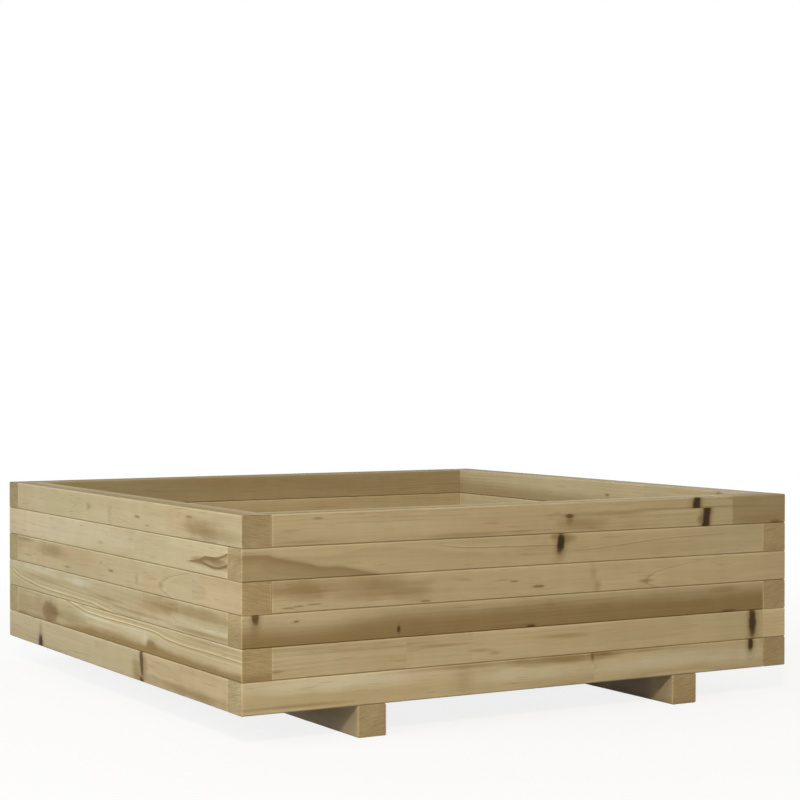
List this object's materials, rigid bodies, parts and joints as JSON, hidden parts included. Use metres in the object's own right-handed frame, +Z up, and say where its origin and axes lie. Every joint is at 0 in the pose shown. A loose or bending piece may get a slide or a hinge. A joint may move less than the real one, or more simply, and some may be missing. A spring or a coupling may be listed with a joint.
{
  "type": "wooden planter",
  "caption": "Low square floor planter of stacked square pine beams, lapped by turns at the corners, standing on runners, with a slatted draining floor inside.",
  "frame": {"origin": "on the ground, under the middle of the square", "axes": "+Z up, +X to the right along the front, -Y out of the front"},
  "size_m": [0.8, 0.8, 0.266],
  "materials": {
    "wall_wood": "planed, impregnated",
    "runner_wood": "planed, impregnated",
    "floor_wood": "planed, impregnated",
    "screw_steel": "zinc plated"
  },
  "bodies": {
    "root": {"front_beam_1": "wall_wood", "right_beam_1": "wall_wood", "back_beam_1": "wall_wood", "left_beam_1": "wall_wood", "front_beam_2": "wall_wood", "right_beam_2": "wall_wood", "back_beam_2": "wall_wood", "left_beam_2": "wall_wood", "front_beam_3": "wall_wood", "right_beam_3": "wall_wood", "back_beam_3": "wall_wood", "left_beam_3": "wall_wood", "front_beam_4": "wall_wood", "right_beam_4": "wall_wood", "back_beam_4": "wall_wood", "left_beam_4": "wall_wood", "front_beam_5": "wall_wood", "right_beam_5": "wall_wood", "back_beam_5": "wall_wood", "left_beam_5": "wall_wood", "front_beam_6": "wall_wood", "right_beam_6": "wall_wood", "back_beam_6": "wall_wood", "left_beam_6": "wall_wood", "left_runner": "runner_wood", "right_runner": "runner_wood", "floor_slat_1": "floor_wood", "floor_slat_2": "floor_wood", "floor_slat_3": "floor_wood", "floor_slat_4": "floor_wood", "floor_slat_5": "floor_wood", "floor_slat_6": "floor_wood", "floor_slat_7": "floor_wood", "beam_screws": "screw_steel", "runner_screws": "screw_steel", "floor_screws": "screw_steel"}
  },
  "joints": []
}
